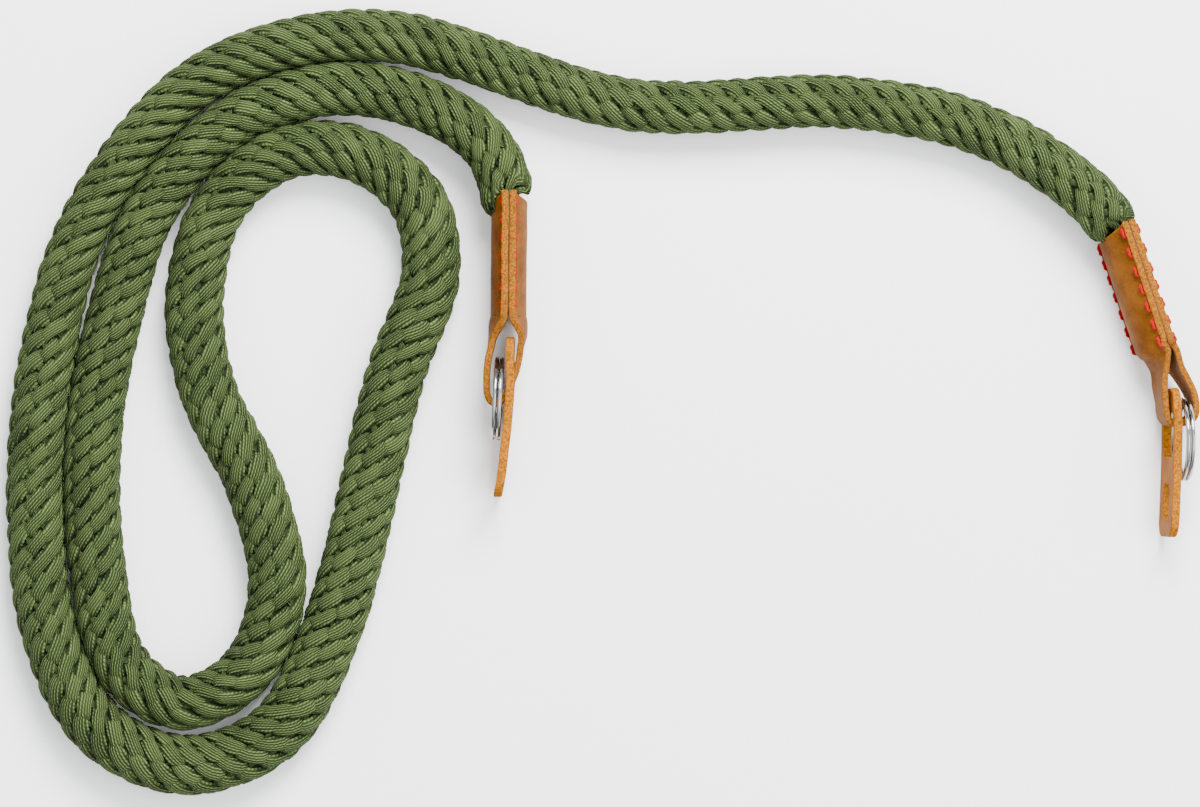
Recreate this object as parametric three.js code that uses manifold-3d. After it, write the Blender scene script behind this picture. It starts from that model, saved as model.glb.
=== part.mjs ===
// Rope camera strap with leather ends, lying on a flat surface.
// Millimetres, +Z up. The surface is z = 0 and the origin is the bottom centre of the leather ends.
// Each end has a folded leather wrap that grips the rope, a split ring and a leather guard tab.
import * as THREE from 'three';
import { mergeVertices } from 'three/addons/utils/BufferGeometryUtils.js';
import Module from 'manifold-3d';

const wasm = await Module();
wasm.setup();

// Clearances
const fit = 0.3; // between pieces that touch on the real strap
const trackGap = 0.5; // what the rope's width gives up so that neighbouring tracks stay clear
const standGap = 0.02; // keeps upright pieces from cutting the surface they stand on

// Rope
const ropeWidth = 10.4; // seen from above
const ropeHeight = 9.8; // flattened a little where it lies
const ropeSides = 12;
const ropeReach = 20; // how far the rope goes into each wrap
const ropeSwell = 3.6; // from the pressed section at the mouth to the full one
const swellFrom = 0.6; // outside the mouth
const swellStep = 0.9; // steps of the tube there
const ropeRise = 34; // over this the rope climbs from the surface to the wrap's middle
const stepLength = 19; // longest step of the tube on a straight run
const stepTurn = 20; // most degrees that one step turns
const leadShare = 0.3; // of the reach, where the line's second point inside a wrap lies
const routeSamples = 1600; // for measuring the line

// Leather
const wrapLength = 25.5;
const wrapWidth = 14;
const wrapLeather = 1.35;
const seamGap = 0.3; // between the two stitched panels
const pocketDepth = 4; // inside the wrap, where the rope is
const pocketWidth = 11.4;
const pressedWidth = 9.2; // of the rope inside the pocket
const mouthRake = 1.2; // the upper corner of the mouth is cut this much longer than its middle
const mouthDip = 0.9; // how far the rim dips between the corners
const neckWidth = 8;
const neckLeather = 1.2;
const splitAt = 0.88; // share of the wrap's length where the panels part to form the neck
const taperFrom = 0.81; // share of the wrap's length where it starts to narrow
const taperTo = 1.12; // share where it is as narrow as the neck
const mouthFade = 0.3; // share of the wrap's length over which the mouth's shape fades
const pocketPower = 1.25; // how pointed the pocket's section is
const wrapSamples = 12; // across the wrap
const neckSamples = 34; // along the neck loop

// Guard tab
const tabWidth = 13;
const tabLeather = 1.55;
const tabCorner = 3.2;
const neckSlotAt = 4.4; // from the tab's top
const neckSlotLength = 8.2;
const lugSlotAt = 17.6; // from the tab's top
const lugSlotLength = 6.4;
const lugSlotWidth = 5.2;
const slotCorner = 1.2;
const tabSamples = 4; // across the tab
const neckRoom = 0.5; // on each side of the neck in its slot

// Split ring
const ringOuter = 15.5; // diameter
const ringWire = 0.82; // thickness of one coil along the ring's axis
const ringWall = 1.1; // thickness of a coil across
const coilGap = 0.08;
const ringEndsAt = 270; // degrees from the neck towards the top, so the ends are underneath
const coilStep = 32; // degrees that the step from one coil to the other takes
const coilEndGap = 5; // degrees from the step to each end
const ringDepth = 2 * ringWire + coilGap;
const ringSteps = 30; // for one turn
const ringSides = 8;

// Neck path, as shares: along is of the loop's length from where the panels part, aside is of the reach
// on the outer side (below zero) or on the inner side (above zero).
const neckLeft = [
  [0.15, -0.5], [0.31, -0.76], [0.47, -0.92], [0.63, -0.99], [0.77, -1.0], [0.89, -0.97], [0.97, -0.82],
  [1.0, -0.58], [0.98, -0.35], [0.91, -0.13], [0.82, 0.12], [0.72, 0.45], [0.6, 0.78], [0.5, 0.97],
  [0.39, 1.1], [0.22, 1.1], [0.1, 0.78],
];
const neckRight = [
  [0.11, -0.34], [0.3, -0.52], [0.5, -0.76], [0.68, -0.97], [0.81, -1.0], [0.925, -0.92], [0.985, -0.68],
  [1.0, -0.35], [1.0, 0.06], [0.98, 0.4], [0.94, 0.76], [0.86, 0.96], [0.75, 1.0], [0.53, 1.0],
  [0.42, 0.72], [0.27, 0.1], [0.12, 0.02],
];

// Bow of the guard tab, as shares: along is of its length, aside is of its bow.
const tabBow = [
  [0, 0.03], [0.17, 0.0], [0.28, 0.08], [0.4, -0.03], [0.5, -0.12], [0.6, -0.24],
  [0.7, -0.42], [0.8, -0.55], [0.9, -0.72], [1, -1],
];

// The two ends. Heading is in degrees from -Y towards +X, and roll leans the upper edge away from the
// inner side. Bends lists where the heading and roll have changed, in lengths of the wrap. The tab's
// rest and the ring's slack are distances from the wrap's seam to the inner side.
const ends = {
  left: {
    mouth: [-61.1, 30.9], innerSide: 1, tabRest: 0.35, loopLength: 15.8, outerReach: 3.9, path: neckLeft,
    bends: [[0, -0.5, 0], [3, -0.5, 0]],
    ringHang: -0.9, ringSlack: 0.3, ringTilt: 2.6, tabLength: 29.6, tabDrop: 0.4, bow: 2.1,
  },
  right: {
    mouth: [51.1, 24.6], innerSide: -1, tabRest: -0.5, loopLength: 14.6, outerReach: 4.5, path: neckRight,
    bends: [[0, 18.4, 20], [0.94, 18.4, 20], [1.12, 15, 12], [1.3, 5, 7], [1.5, 0, 6.5], [3, -1, 6]],
    ringHang: 3.0, ringSlack: 0.15, ringTilt: 0.5, tabLength: 27.4, tabDrop: 5.2, bow: -0.6,
  },
};

// Route of the free rope from the left mouth to the right mouth, chosen by hand: x, y and the width there
// as a share of the rope's width.
const route = [
  [-65.1, 40.2, 0.93], [-75.5, 47.6, 0.965], [-91.6, 51.1, 0.965], [-106.4, 48.0, 0.93],
  [-118.2, 40.4, 0.89], [-128.2, 27.4, 0.93], [-134.0, 10.0, 1.0], [-138.1, -12.2, 1.015],
  [-137.7, -36.3, 1.015], [-132.9, -55.7, 1.0], [-121.8, -62.8, 0.965], [-109.9, -56.7, 0.965],
  [-104.2, -41.9, 1.035], [-108.1, -23.3, 1.035], [-117.3, -3.9, 1.035], [-119.4, 13.7, 1.05],
  [-114.4, 30.0, 0.965], [-101.9, 39.4, 0.965], [-88.4, 38.5, 1.0], [-77.9, 29.8, 1.035],
  [-75.8, 16.5, 1.05], [-82.1, -1.5, 1.05], [-94.2, -49.4, 1.09], [-104.5, -68.0, 1.07],
  [-120.8, -74.3, 1.07], [-136.8, -67.8, 1.035], [-146.0, -51.1, 1.0], [-149.0, -27.0, 1.015],
  [-146.9, 0.7, 1.0], [-139.5, 26.7, 0.91], [-120.8, 50.9, 0.89], [-101.8, 59.4, 0.89],
  [-82.3, 60.6, 0.93], [-38.8, 48.1, 0.93], [1.9, 48.5, 0.93], [26.9, 43.3, 0.945], [44.9, 32.2, 0.945],
];

const up = new THREE.Vector3(0, 0, 1);
const smooth = (t) => THREE.MathUtils.smoothstep(t, 0, 1);
const easeOut = (t) => 1 - (1 - THREE.MathUtils.clamp(t, 0, 1)) ** 2;
const mix = THREE.MathUtils.lerp;

// Straight-line look-up in a table whose first column rises.
function lookUp(table, x, column) {
  const next = table.findIndex((row) => row[0] >= x);
  if (next < 0) return table.at(-1)[column];
  if (next === 0) return table[0][column];
  const [a, b] = [table[next - 1], table[next]];
  return mix(a[column], b[column], (x - a[0]) / (b[0] - a[0]));
}

// The line that an end's pieces hang along: at each length it gives a point and three directions.
class Spine {
  constructor(end) {
    this.end = end;
    this.step = 0.25;
    this.points = [new THREE.Vector2(...end.mouth)];
    for (let along = 0; along < 3 * wrapLength; along += this.step) {
      const heading = this.heading(along + this.step / 2);
      const last = this.points.at(-1);
      this.points.push(last.clone().add(
        new THREE.Vector2(Math.sin(heading), -Math.cos(heading)).multiplyScalar(this.step)));
    }
  }

  heading(along) {
    return THREE.MathUtils.degToRad(lookUp(this.end.bends, along / wrapLength, 1));
  }

  roll(along) {
    return THREE.MathUtils.degToRad(lookUp(this.end.bends, along / wrapLength, 2));
  }

  // Height of the line where a rolled slab beside it, at a distance to the inner side, stands on the surface.
  standing(along, width, thickness, aside = 0) {
    const roll = this.roll(along);
    return (width / 2) * Math.cos(roll) + (thickness / 2 - aside) * Math.sin(roll) + standGap;
  }

  // down runs from the mouth to the ring, inward points to the inner side, across is the width.
  at(along, height) {
    const heading = this.heading(along);
    const roll = this.roll(along);
    const side = this.end.innerSide;
    const level = new THREE.Vector3(Math.cos(heading), Math.sin(heading), 0).multiplyScalar(side);
    const down = new THREE.Vector3(Math.sin(heading), -Math.cos(heading), 0);
    const inward = level.clone().multiplyScalar(Math.cos(roll)).addScaledVector(up, Math.sin(roll));
    const across = up.clone().multiplyScalar(Math.cos(roll)).addScaledVector(level, -Math.sin(roll));
    const index = THREE.MathUtils.clamp(along / this.step, 0, this.points.length - 1.001);
    const k = Math.floor(index);
    const plan = this.points[k].clone().lerp(this.points[k + 1], index - k);
    if (along < 0) plan.addScaledVector(new THREE.Vector2(down.x, down.y), along);
    return { point: new THREE.Vector3(plan.x, plan.y, height), down, inward, across };
  }

  // A point at a length, a distance to the inner side and a distance across the width of a slab that
  // stands on the surface.
  place(along, aside, across, stand) {
    const frame = this.at(along, this.standing(along, ...stand));
    return frame.point.addScaledVector(frame.inward, aside).addScaledVector(frame.across, across);
  }
}

// A closed body through rings of points that all have the same count. Caps join mirrored points of the
// ring when it is a thin slab, or run to the ring's centre.
function loft(rings, closed, slab) {
  const count = rings[0].length;
  const points = rings.flat();
  const faces = [];
  const last = closed ? rings.length : rings.length - 1;
  for (let i = 0; i < last; i++) {
    const [a, b] = [i * count, ((i + 1) % rings.length) * count];
    for (let j = 0; j < count; j++) {
      const k = (j + 1) % count;
      faces.push([a + j, a + k, b + k], [a + j, b + k, b + j]);
    }
  }
  if (!closed) {
    for (const [start, flip] of [[0, true], [(rings.length - 1) * count, false]]) {
      for (const face of slab ? slabCap(start, count) : fanCap(start, count)) {
        faces.push(flip ? face.reverse() : face);
      }
    }
  }
  return solidGeometry(points, faces);
}

function fanCap(start, count) {
  return Array.from({ length: count - 2 }, (_, j) => [start, start + j + 1, start + j + 2]);
}

function slabCap(start, count) {
  const faces = [];
  for (let j = 0; j < count / 2 - 1; j++) {
    const [a, b] = [start + j, start + count - 1 - j];
    faces.push([a, a + 1, b - 1], [a, b - 1, b]);
  }
  return faces;
}

// Turns the faces outward if the volume comes out negative.
function solidGeometry(points, faces) {
  const volume = faces.reduce((sum, [a, b, c]) =>
    sum + points[a].dot(new THREE.Vector3().crossVectors(points[b], points[c])), 0);
  const index = faces.flatMap(([a, b, c]) => (volume > 0 ? [a, b, c] : [a, c, b]));
  const geometry = new THREE.BufferGeometry().setFromPoints(points);
  geometry.setIndex(index);
  return geometry;
}

function toManifold(geometry) {
  const merged = mergeVertices(geometry.clone(), 1e-5);
  return new wasm.Manifold(new wasm.Mesh({
    numProp: 3,
    vertProperties: new Float32Array(merged.attributes.position.array),
    triVerts: new Uint32Array(merged.index.array),
  }));
}

function fromManifold(solid) {
  const mesh = solid.getMesh();
  const geometry = new THREE.BufferGeometry();
  geometry.setAttribute('position', new THREE.BufferAttribute(mesh.vertProperties, 3));
  geometry.setIndex(new THREE.BufferAttribute(mesh.triVerts, 1));
  return geometry;
}

// How far the pocket swells at a distance across, from 1 in the middle to 0 at the stitches.
function pocketShape(across) {
  const share = 1 - (across / (pocketWidth / 2)) ** 2;
  return share > 0 ? share ** pocketPower : 0;
}

const swell = (pocketDepth - seamGap) / 2;
const packDepth = seamGap + 2 * wrapLeather;

// A strip of leather along a path of [along, aside] points in an end's frame.
function strip(spine, path, { width, leather, bulge, shift, stand, samples }) {
  const rings = path.map(([along, aside], i) => {
    const before = path[Math.max(i - 1, 0)];
    const after = path[Math.min(i + 1, path.length - 1)];
    const run = new THREE.Vector2(after[0] - before[0], after[1] - before[1]).normalize();
    const half = width(along, i) / 2;
    const face = (side) => Array.from({ length: samples + 1 }, (_, k) => {
      const across = mix(-half, half, k / samples);
      const out = (side * leather(along)) / 2 + bulge(along, across);
      return spine.place(along + run.y * out + shift(along, across), aside - run.x * out, across, stand);
    });
    return [...face(1), ...face(-1).reverse()];
  });
  return loft(rings, false, true);
}

// The wrap is one strip: down the outer panel, round the neck loop and up the inner panel.
function wrapPath(end) {
  const start = splitAt * wrapLength;
  const flat = seamGap / 2 + wrapLeather / 2;
  const stations = [0, 0.04, 0.1, 0.2, 0.35, 0.5, 0.65, 0.8, 0.92, 1].map((share) => share * start);
  const innerReach = end.tabRest + tabLeather / 2 + fit + neckLeather / 2;
  const loop = end.path.map(([along, aside]) => new THREE.Vector3(
    start + along * end.loopLength, aside * (aside < 0 ? end.outerReach : innerReach), 0));
  const curve = new THREE.CatmullRomCurve3([
    new THREE.Vector3(stations.at(-1), -flat, 0), ...loop, new THREE.Vector3(stations.at(-1), flat, 0)]);
  const round = curve.getPoints(neckSamples).slice(1, -1).map((p) => [p.x, p.y]);
  return [
    ...stations.map((along) => [along, -flat]),
    ...round,
    ...stations.toReversed().map((along) => [along, flat]),
  ];
}

function wrapGeometry(end, spine) {
  const taper = (along) => smooth((along / wrapLength - taperFrom) / (taperTo - taperFrom));
  const pocketEnd = (along) => smooth((along / wrapLength - splitAt) / (taperTo - splitAt));
  return strip(spine, wrapPath(end), {
    samples: wrapSamples,
    stand: [wrapWidth, packDepth],
    width: (along) => mix(wrapWidth, neckWidth, taper(along)),
    leather: (along) => mix(wrapLeather, neckLeather, taper(along)),
    bulge: (along, across) => swell * pocketShape(across) * (1 - pocketEnd(along)),
    shift: (along, across) => {
      const share = (2 * across) / wrapWidth;
      const fade = Math.max(0, 1 - along / (mouthFade * wrapLength));
      return fade * (-mouthRake * share + mouthDip * (1 - share ** 2));
    },
  });
}

// Middle of the guard tab at a distance from its top, as [along, aside].
function tabMiddle(end, position) {
  const share = position / end.tabLength;
  return [wrapLength + end.tabDrop + position, end.tabRest + lookUp(tabBow, share, 1) * end.bow];
}

// Half-round ends: width of a plate that is full in its middle and rounded by a corner radius.
function roundedWidth(full, length, corner, position) {
  const near = Math.min(position, length - position);
  const missing = near < corner ? corner - Math.sqrt(corner ** 2 - (corner - near) ** 2) : 0;
  return full - 2 * missing;
}

function tabGeometry(end, spine) {
  const plain = {
    bulge: () => 0,
    shift: () => 0,
    stand: [tabWidth, tabLeather, end.tabRest],
    samples: tabSamples,
  };
  const ease = [0, 0.03, 0.12, 0.3, 0.6, 1].map((share) => share * tabCorner);
  const middle = [0.2, 0.3, 0.4, 0.5, 0.6, 0.7, 0.8].map((share) => share * end.tabLength);
  const stations = [...ease, ...middle, ...ease.toReversed().map((near) => end.tabLength - near)];
  const path = stations.map((position) => tabMiddle(end, position));
  const body = toManifold(strip(spine, path, {
    ...plain,
    width: (_, i) => roundedWidth(tabWidth, end.tabLength, tabCorner, stations[i]),
    leather: () => tabLeather,
  }));
  const cut = (from, length, width, stand) => {
    const corner = Math.min(slotCorner, 0.45 * width, 0.45 * length);
    const shares = [0, 0.1, 0.3, 0.6, 1].map((share) => share * corner);
    const places = [...shares, length / 2, ...shares.toReversed().map((near) => length - near)];
    return toManifold(strip(spine, places.map((near) => tabMiddle(end, from + near)), {
      ...plain,
      stand,
      width: (_, i) => roundedWidth(width, length, corner, places[i]),
      leather: () => 2 * tabLeather,
    }));
  };
  const neckSlot = cut(neckSlotAt, neckSlotLength, neckWidth + 2 * neckRoom, [wrapWidth, packDepth]);
  const lugSlot = cut(lugSlotAt, lugSlotLength, lugSlotWidth, plain.stand);
  return fromManifold(body.subtract(neckSlot).subtract(lugSlot));
}

// A split ring: two turns of wire side by side, with a short step from one to the other.
function ringGeometry(end, spine) {
  const radius = (ringOuter - ringWall) / 2;
  const stepHalf = THREE.MathUtils.degToRad(coilStep / 2);
  const from = stepHalf + THREE.MathUtils.degToRad(coilEndGap);
  const to = 4 * Math.PI - from;
  const endsAt = THREE.MathUtils.degToRad(ringEndsAt);
  const offset = (ringWire + coilGap) / 2;
  const centre = ringFrame(end, spine);
  const rings = [];
  const steps = 2 * ringSteps;
  for (let i = 0; i <= steps; i++) {
    const turn = mix(from, to, i / steps);
    const layer = smooth((turn - 2 * Math.PI + stepHalf) / (2 * stepHalf));
    const shift = mix(-offset, offset, layer);
    const outward = centre.down.clone().multiplyScalar(Math.cos(turn + endsAt))
      .addScaledVector(centre.across, Math.sin(turn + endsAt));
    rings.push(Array.from({ length: ringSides }, (_, k) => {
      const angle = ((k + 0.5) / ringSides) * 2 * Math.PI;
      const flat = Math.cos(Math.PI / ringSides);
      return centre.point.clone()
        .addScaledVector(outward, radius + (ringWall / 2 / flat) * Math.cos(angle))
        .addScaledVector(centre.axis, shift + (ringWire / 2 / flat) * Math.sin(angle));
    }));
  }
  return loft(rings, false, false);
}

// Centre and axes of a split ring, which hangs in the neck loop and stands on the surface.
function ringFrame(end, spine) {
  const along = splitAt * wrapLength + end.loopLength + end.ringHang;
  const aside = end.tabRest - (tabLeather / 2 + fit + ringDepth / 2) - end.ringSlack;
  const height = spine.standing(along, ringOuter, ringDepth, aside);
  const { point, down, inward, across } = spine.at(along, height);
  const tilt = THREE.MathUtils.degToRad(end.ringTilt * end.innerSide);
  return {
    point: point.addScaledVector(inward, aside),
    down: down.applyAxisAngle(across, -tilt),
    axis: inward.applyAxisAngle(across, -tilt),
    across,
  };
}

// Half thickness of the pressed rope at a distance across the pocket.
const pressed = (across) => seamGap / 2 + swell * pocketShape(across) - fit;

// The rope: a plain tube on the surface that is pressed into each wrap.
function ropeGeometry(spines) {
  const inWrap = (spine, along) => spine.at(along, spine.standing(along, wrapWidth, packDepth)).point;
  const lead = (spine) => [ropeReach, leadShare * ropeReach, 0].map((along) => inWrap(spine, along));
  const points = [
    ...lead(spines.left),
    ...route.map(([x, y]) => new THREE.Vector3(x, y, 0)),
    ...lead(spines.right).toReversed(),
  ];
  const widths = [1, 1, route[0][2], ...route.map((row) => row[2]), route.at(-1)[2], 1, 1];
  const curve = new THREE.CatmullRomCurve3(points);
  const samples = Array.from({ length: routeSamples + 1 }, (_, i) => curve.getPoint(i / routeSamples).setZ(0));
  const travelled = [0];
  const turns = [0];
  for (let i = 1; i <= routeSamples; i++) {
    const step = samples[i].distanceTo(samples[i - 1]);
    travelled.push(travelled[i - 1] + step);
    const turn = i < routeSamples
      ? samples[i].clone().sub(samples[i - 1]).angleTo(samples[i + 1].clone().sub(samples[i])) : 0;
    turns.push(THREE.MathUtils.radToDeg(turn));
  }
  const total = travelled.at(-1);
  const effort = [0];
  for (let i = 1; i <= routeSamples; i++) {
    const step = travelled[i] - travelled[i - 1];
    const outside = Math.min(travelled[i], total - travelled[i]) - ropeReach;
    const swelling = outside > -swellStep && outside < ropeSwell;
    effort.push(effort[i - 1] + Math.max(
      step / stepLength + turns[i] / stepTurn, swelling ? step / swellStep : 0));
  }
  const stations = Math.ceil(effort.at(-1));
  const rings = [];
  for (let n = 0; n <= stations; n++) {
    const wanted = (n / stations) * effort.at(-1);
    const i = Math.min(effort.findIndex((value) => value >= wanted - 1e-9), routeSamples);
    const ahead = samples[Math.min(i + 1, routeSamples)];
    const tangent = ahead.clone().sub(samples[Math.max(i - 1, 0)]).normalize();
    const knot = (i / routeSamples) * (points.length - 1);
    const share = mix(widths[Math.floor(knot)], widths[Math.ceil(knot)], knot % 1);
    rings.push(ropeSection(samples[i], tangent, share, travelled[i], total - travelled[i], spines));
  }
  return loft(rings, false, false);
}

// One section of the rope, from its distance to each of its two ends.
function ropeSection(centre, tangent, share, fromLeft, fromRight, spines) {
  const spine = fromLeft < fromRight ? spines.left : spines.right;
  const outside = Math.min(fromLeft, fromRight) - ropeReach;
  const full = easeOut((outside - swellFrom) / ropeSwell);
  const level = smooth(outside / ropeRise);
  const roll = -spine.roll(0) * (1 - level);
  const side = new THREE.Vector3().crossVectors(up, tangent).normalize();
  const tilted = side.clone().applyAxisAngle(tangent, roll);
  const tiltedUp = up.clone().applyAxisAngle(tangent, roll);
  const height = mix(spine.standing(0, wrapWidth, packDepth), ropeHeight / 2, level);
  const tip = Math.cos(Math.PI / ropeSides);
  return Array.from({ length: ropeSides }, (_, k) => {
    const angle = ((k + 0.5) / ropeSides) * 2 * Math.PI;
    const [x, y] = [Math.cos(angle) / tip, Math.sin(angle) / tip];
    const across = mix((pressedWidth / 2) * y, (ropeHeight / 2) * y, full);
    const thin = Math.sign(x) * pressed((pressedWidth / 2) * y);
    const wide = ((ropeWidth * share - trackGap) / 2) * x;
    return new THREE.Vector3(centre.x, centre.y, height)
      .addScaledVector(tilted, mix(thin, wide, full))
      .addScaledVector(tiltedUp, across);
  });
}

const group = new THREE.Group();

function add(name, geometry, color, roughness, metalness) {
  const mesh = new THREE.Mesh(geometry, new THREE.MeshStandardMaterial({ color, roughness, metalness }));
  mesh.name = name;
  group.add(mesh);
}

const spines = { left: new Spine(ends.left), right: new Spine(ends.right) };
add('rope', ropeGeometry(spines), 0x5f7d4b, 0.95, 0);
for (const [name, spine] of Object.entries(spines)) {
  add(`wrap_${name}`, wrapGeometry(spine.end, spine), 0xb5733a, 0.55, 0);
  add(`split_ring_${name}`, ringGeometry(spine.end, spine), 0xd0d4d6, 0.12, 1);
  add(`guard_tab_${name}`, tabGeometry(spine.end, spine), 0xd9933f, 0.6, 0);
}

export default group;
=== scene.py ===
"""Dresses the rope camera strap: braided rope, stitched leather wraps, split rings and guard tabs."""
import itertools
import logging
import math
from dataclasses import dataclass
from enum import Enum

import bmesh
import bpy
import numpy as np
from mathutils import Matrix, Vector, noise


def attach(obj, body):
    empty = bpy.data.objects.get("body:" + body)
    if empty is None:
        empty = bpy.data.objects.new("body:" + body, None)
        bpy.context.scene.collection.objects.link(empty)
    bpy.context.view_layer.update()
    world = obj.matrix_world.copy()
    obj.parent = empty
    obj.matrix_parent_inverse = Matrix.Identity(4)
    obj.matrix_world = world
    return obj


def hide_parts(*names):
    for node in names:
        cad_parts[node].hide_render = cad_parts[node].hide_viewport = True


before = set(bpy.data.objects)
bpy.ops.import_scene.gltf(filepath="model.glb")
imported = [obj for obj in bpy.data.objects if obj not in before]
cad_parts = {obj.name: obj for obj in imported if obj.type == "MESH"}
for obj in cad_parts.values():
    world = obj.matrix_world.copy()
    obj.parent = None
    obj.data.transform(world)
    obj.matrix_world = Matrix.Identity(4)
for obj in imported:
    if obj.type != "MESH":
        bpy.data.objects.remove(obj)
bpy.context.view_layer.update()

MM = 0.001
TURN = 2 * math.pi
UP = np.array([0.0, 0.0, 1.0])

# Sizes that the pieces share, in millimetres.
FIT = 0.3
STAND_GAP = 0.02
ROPE_WIDTH = 10.4
ROPE_HEIGHT = 9.8
ROPE_REACH = 20.0
ROPE_SWELL = 3.6
SWELL_FROM = 0.6
ROPE_RISE = 34.0
WRAP_LENGTH = 25.5
WRAP_WIDTH = 14.0
WRAP_LEATHER = 1.35
SEAM_GAP = 0.3
POCKET_DEPTH = 4.0
POCKET_WIDTH = 11.4
PRESSED_WIDTH = 9.2
NECK_WIDTH = 8.0
NECK_LEATHER = 1.2
TAB_WIDTH = 13.0
TAB_LEATHER = 1.55
RING_OUTER = 15.5
RING_WIRE = 0.82
RING_WALL = 1.1
COIL_GAP = 0.08
RING_DEPTH = 2 * RING_WIRE + COIL_GAP
PACK_DEPTH = SEAM_GAP + 2 * WRAP_LEATHER
SWELL = (POCKET_DEPTH - SEAM_GAP) / 2
WRAP_STAND = (WRAP_WIDTH, PACK_DEPTH)

# Shares of the wrap's length, and the power that rounds the pocket off.
SPLIT_AT = 0.88
TAPER_FROM = 0.92 * SPLIT_AT
TAPER_TO = 1.12
POCKET_POWER = 1.25

# Route of the free rope: x, y and its width there as a share of the rope's width.
ROUTE = [
    (-65.1, 40.2, 0.93), (-75.5, 47.6, 0.965), (-91.6, 51.1, 0.965), (-106.4, 48.0, 0.93),
    (-118.2, 40.4, 0.89), (-128.2, 27.4, 0.93), (-134.0, 10.0, 1.0), (-138.1, -12.2, 1.015),
    (-137.7, -36.3, 1.015), (-132.9, -55.7, 1.0), (-121.8, -62.8, 0.965), (-109.9, -56.7, 0.965),
    (-104.2, -41.9, 1.035), (-108.1, -23.3, 1.035), (-117.3, -3.9, 1.035), (-119.4, 13.7, 1.05),
    (-114.4, 30.0, 0.965), (-101.9, 39.4, 0.965), (-88.4, 38.5, 1.0), (-77.9, 29.8, 1.035),
    (-75.8, 16.5, 1.05), (-82.1, -1.5, 1.05), (-94.2, -49.4, 1.09), (-104.5, -68.0, 1.07),
    (-120.8, -74.3, 1.07), (-136.8, -67.8, 1.035), (-146.0, -51.1, 1.0), (-149.0, -27.0, 1.015),
    (-146.9, 0.7, 1.0), (-139.5, 26.7, 0.91), (-120.8, 50.9, 0.89), (-101.8, 59.4, 0.89),
    (-82.3, 60.6, 0.93), (-38.8, 48.1, 0.93), (1.9, 48.5, 0.93), (26.9, 43.3, 0.945), (44.9, 32.2, 0.945),
]

# Neck paths: share of the loop's length, and share of the reach to the outer (-) or inner (+) side.
NECK_LEFT = (
    (0.15, -0.5), (0.31, -0.76), (0.47, -0.92), (0.63, -0.99), (0.77, -1.0), (0.89, -0.97), (0.97, -0.82),
    (1.0, -0.58), (0.98, -0.35), (0.91, -0.13), (0.82, 0.12), (0.72, 0.45), (0.6, 0.78), (0.5, 0.97),
    (0.39, 1.1), (0.22, 1.1), (0.1, 0.78),
)
NECK_RIGHT = (
    (0.11, -0.34), (0.3, -0.52), (0.5, -0.76), (0.68, -0.97), (0.81, -1.0), (0.925, -0.92), (0.985, -0.68),
    (1.0, -0.35), (1.0, 0.06), (0.98, 0.4), (0.94, 0.76), (0.86, 0.96), (0.75, 1.0), (0.53, 1.0),
    (0.42, 0.72), (0.27, 0.1), (0.12, 0.02),
)
# Bow of a guard tab: share of its length, share of its bow.
TAB_BOW = (
    (0.0, 0.03), (0.17, 0.0), (0.28, 0.08), (0.4, -0.03), (0.5, -0.12), (0.6, -0.24),
    (0.7, -0.42), (0.8, -0.55), (0.9, -0.72), (1.0, -1.0),
)

Array = np.ndarray
Number = float | Array
Pair = tuple[float, float]
Triple = tuple[float, float, float]
Colour = Triple
Material = bpy.types.Material
Piece = bpy.types.Object
Socket = bpy.types.NodeSocket

log = logging.getLogger("strap")


def smooth(t: Number) -> Number:
    """Smooth step from 0 to 1."""
    t = np.clip(t, 0.0, 1.0)
    return t * t * (3.0 - 2.0 * t)


def ease_out(t: Number) -> Number:
    """Fast start and slow end from 0 to 1."""
    return 1.0 - (1.0 - np.clip(t, 0.0, 1.0)) ** 2


def mix(a: Number, b: Number, t: Number) -> Number:
    """Straight-line blend from a to b."""
    return a + (b - a) * t


def pocket_shape(across: Number) -> Number:
    """Share of the pocket's swell at a distance across the wrap."""
    return np.maximum(0.0, 1.0 - (across / (POCKET_WIDTH / 2)) ** 2) ** POCKET_POWER


def spline_points(points: Array, per_segment: int) -> Array:
    """Samples a centripetal Catmull-Rom curve.

    Args:
        points: one row for each point that the curve goes through.
        per_segment: samples from one point to the next.

    Returns:
        The samples, the first and the last point included.
    """
    ends = np.vstack([2 * points[0] - points[1], points, 2 * points[-1] - points[-2]])
    t = np.linspace(0.0, 1.0, per_segment, endpoint=False)[:, None]
    rows = []
    for p0, p1, p2, p3 in zip(ends, ends[1:], ends[2:], ends[3:]):
        d0, d1, d2 = (max(np.linalg.norm(b - a) ** 0.5, 1e-4) for a, b in ((p0, p1), (p1, p2), (p2, p3)))
        m1 = ((p1 - p0) / d0 - (p2 - p0) / (d0 + d1) + (p2 - p1) / d1) * d1
        m2 = ((p2 - p1) / d1 - (p3 - p1) / (d1 + d2) + (p3 - p2) / d2) * d1
        rows.append(p1 + m1 * t + (3 * (p2 - p1) - 2 * m1 - m2) * t**2 + (2 * (p1 - p2) + m1 + m2) * t**3)
    return np.vstack([*rows, points[-1:]])


class Slot(Enum):
    """Material slots of the record."""

    ROPE = "rope"
    WRAP = "wrap_leather"
    TAB = "tab_leather"
    RING = "ring"


# Shader building


def rgba(colour: Colour, share: float = 1.0) -> tuple[float, float, float, float]:
    """Opaque value of a colour for a socket, darkened to a share."""
    return (*(share * c for c in colour), 1.0)


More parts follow.
